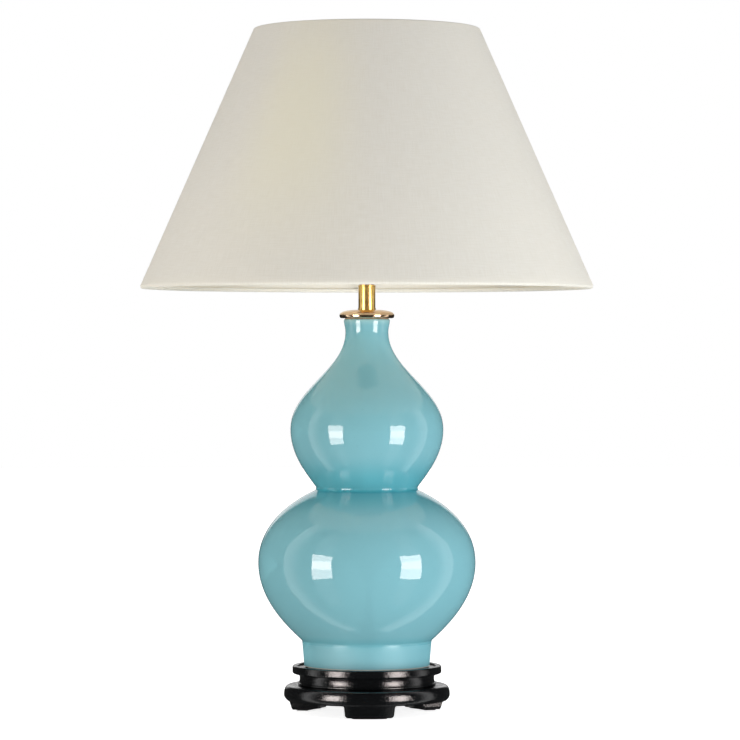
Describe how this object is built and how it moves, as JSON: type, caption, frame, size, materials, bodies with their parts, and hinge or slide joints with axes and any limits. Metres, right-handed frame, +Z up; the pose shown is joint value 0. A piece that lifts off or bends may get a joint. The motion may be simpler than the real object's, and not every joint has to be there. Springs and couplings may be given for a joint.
{
  "type": "table lamp",
  "caption": "Double gourd ceramic table lamp on a turned three-footed wooden stand, with brass stem, switched lampholder, bulb and cone fabric shade.",
  "frame": {"origin": "on the lamp's axis, on the surface the foot pads rest on", "axes": "+Z up along the lamp's axis; -Y towards the front foot, the viewer's side; +Y to the cable entry and the shade's seam"},
  "size_m": [0.5084, 0.5084, 0.7685],
  "materials": {
    "felt": "matt pressed felt",
    "lacquered_wood": "black satin lacquer over turned hardwood",
    "black_rubber": "matt",
    "glaze": "glossy blue-green glaze, paler where it breaks over the edges",
    "cork_felt": "pressed cork sheet",
    "polished_brass": "polished and lacquered",
    "zinc_steel": "bright zinc plate",
    "holder_brass": "drawn brass sheet",
    "contact_brass": "plain drawn",
    "black_moulding": "moulded phenolic",
    "bulb_glass": "frosted inside",
    "bulb_cap_metal": "plain rolled",
    "black_ceramic": "glossy",
    "bulb_stem_glass": "clear",
    "filament_coat": "phosphor coat",
    "carrier_white": "white powder coat",
    "shade_cloth": "fine plain-weave cream cotton",
    "shade_lining_sheet": "white translucent sheet"
  },
  "bodies": {
    "base": {"foot_pads": "felt", "stand_leg_ring": "lacquered_wood", "stand_waist_ring": "lacquered_wood", "stand_tray": "lacquered_wood", "cable_grommet": "black_rubber", "vase_seat_ring": "black_rubber", "vase_body": "glaze", "mouth_gasket": "cork_felt", "vase_cap": "polished_brass", "stem_collar": "polished_brass", "stem_tube": "polished_brass", "stem_top_washer": "polished_brass", "threaded_rod": "zinc_steel", "stand_washer": "zinc_steel", "lock_washer": "zinc_steel", "stand_nut": "zinc_steel", "holder_cap": "holder_brass", "holder_grub_screw": "zinc_steel", "holder_shell": "holder_brass", "terminal_block": "black_moulding", "terminal_screws": "zinc_steel", "centre_contact": "contact_brass", "insulating_sleeve": "black_moulding", "screw_liner": "contact_brass"},
    "switch": {"switch_bar": "zinc_steel", "switch_buttons": "black_moulding"},
    "bulb": {"bulb_globe": "bulb_glass", "bulb_cap": "bulb_cap_metal", "bulb_insulator": "black_ceramic", "bulb_contact": "zinc_steel", "bulb_stem": "bulb_stem_glass", "bulb_filaments": "filament_coat"},
    "clamp_ring": {"clamp_ring": "holder_brass"},
    "shade": {"fitter_ring": "carrier_white", "fitter_struts": "carrier_white", "shade_lower_wire": "carrier_white", "shade_upper_wire": "carrier_white", "shade_fabric": "shade_cloth", "shade_lining": "shade_lining_sheet"}
  },
  "joints": [
    {"name": "switch_push", "type": "slide", "parent": "base", "child": "switch", "axis": [1, 0, 0], "range_m": [0, 0.004]},
    {"name": "bulb_turn", "type": "hinge", "parent": "base", "child": "bulb", "pos_m": [0, 0, 0.532], "axis": [0, 0, 1], "continuous": true},
    {"name": "clamp_ring_turn", "type": "hinge", "parent": "base", "child": "clamp_ring", "pos_m": [0, 0, 0.53], "axis": [0, 0, 1], "continuous": true},
    {"name": "shade_turn", "type": "hinge", "parent": "base", "child": "shade", "pos_m": [0, 0, 0.525], "axis": [0, 0, 1], "continuous": true}
  ]
}
